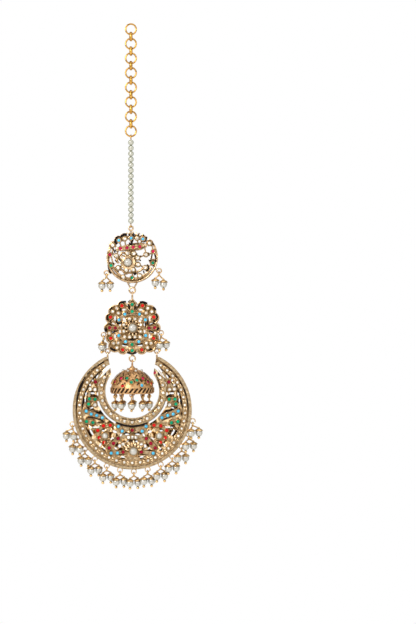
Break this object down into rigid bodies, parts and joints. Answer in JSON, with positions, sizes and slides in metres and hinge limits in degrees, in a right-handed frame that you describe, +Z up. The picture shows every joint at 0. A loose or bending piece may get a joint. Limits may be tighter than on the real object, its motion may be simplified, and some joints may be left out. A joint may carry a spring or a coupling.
{
  "type": "chandbali earring",
  "caption": "Long drop earring with a crescent, a hanging dome, stone-set medallions, pearl fringe and an ear chain.",
  "frame": {"origin": "where the earring pins on: the seat of the ear post on the back of the top medallion", "axes": "+Z up along the hanging length, +Y to the back into the ear, the front faces -Y, +X to the viewer's right"},
  "size_m": [0.0613, 0.0204, 0.2049],
  "materials": {
    "rose_gold": "polished rose gold with dark recesses",
    "yellow_gold": "polished yellow gold",
    "pearl": "lustrous imitation pearl",
    "string_pearl": "lustrous small pearl",
    "ruby": "cut pink-red stone",
    "red": "cut red stone",
    "garnet": "cut dark red stone",
    "emerald": "cut green stone",
    "turquoise": "sky-blue cabochon",
    "white_stone": "clear cut stone on foil",
    "patina": "blackened recess"
  },
  "bodies": {
    "top": {"hair_ring": "yellow_gold", "ear_chain": "yellow_gold", "string_wire": "yellow_gold", "string_pearls": "string_pearl", "top_frame": "rose_gold", "ear_post": "rose_gold", "top_rubies": "ruby", "top_emeralds": "emerald", "top_turquoises": "turquoise", "top_pearl": "pearl", "top_drop_links": "rose_gold", "top_drop_pearls": "pearl"},
    "middle": {"middle_frame": "rose_gold", "middle_reds": "red", "middle_garnets": "garnet", "middle_emeralds": "emerald", "middle_turquoises": "turquoise", "middle_pearl": "pearl", "middle_drop_links": "rose_gold", "middle_drop_pearls": "pearl"},
    "crescent": {"crescent_frame": "rose_gold", "crescent_reds": "red", "crescent_garnets": "garnet", "crescent_emeralds": "emerald", "crescent_turquoises": "turquoise", "crescent_whites": "white_stone", "fringe_links": "rose_gold", "fringe_pearls": "pearl", "lotus_pearl": "pearl", "side_pearls": "pearl"},
    "jhumki": {"jhumki_dome": "rose_gold", "jhumki_reds": "red", "jhumki_garnets": "ruby", "jhumki_emeralds": "emerald", "jhumki_turquoises": "turquoise", "jhumki_links": "rose_gold", "jhumki_pearls": "pearl"}
  },
  "joints": [
    {"name": "middle_swing", "type": "hinge", "parent": "top", "child": "middle", "pos_m": [0, -0.0007, -0.01595], "axis": [1, 0, 0], "range_deg": [-50, 50]},
    {"name": "crescent_swing", "type": "hinge", "parent": "middle", "child": "crescent", "pos_m": [0, -0.0007, -0.0424], "axis": [1, 0, 0], "range_deg": [-45, 45]},
    {"name": "jhumki_swing", "type": "hinge", "parent": "middle", "child": "jhumki", "pos_m": [0, -0.0007, -0.04596], "axis": [1, 0, 0], "range_deg": [-45, 45]}
  ]
}
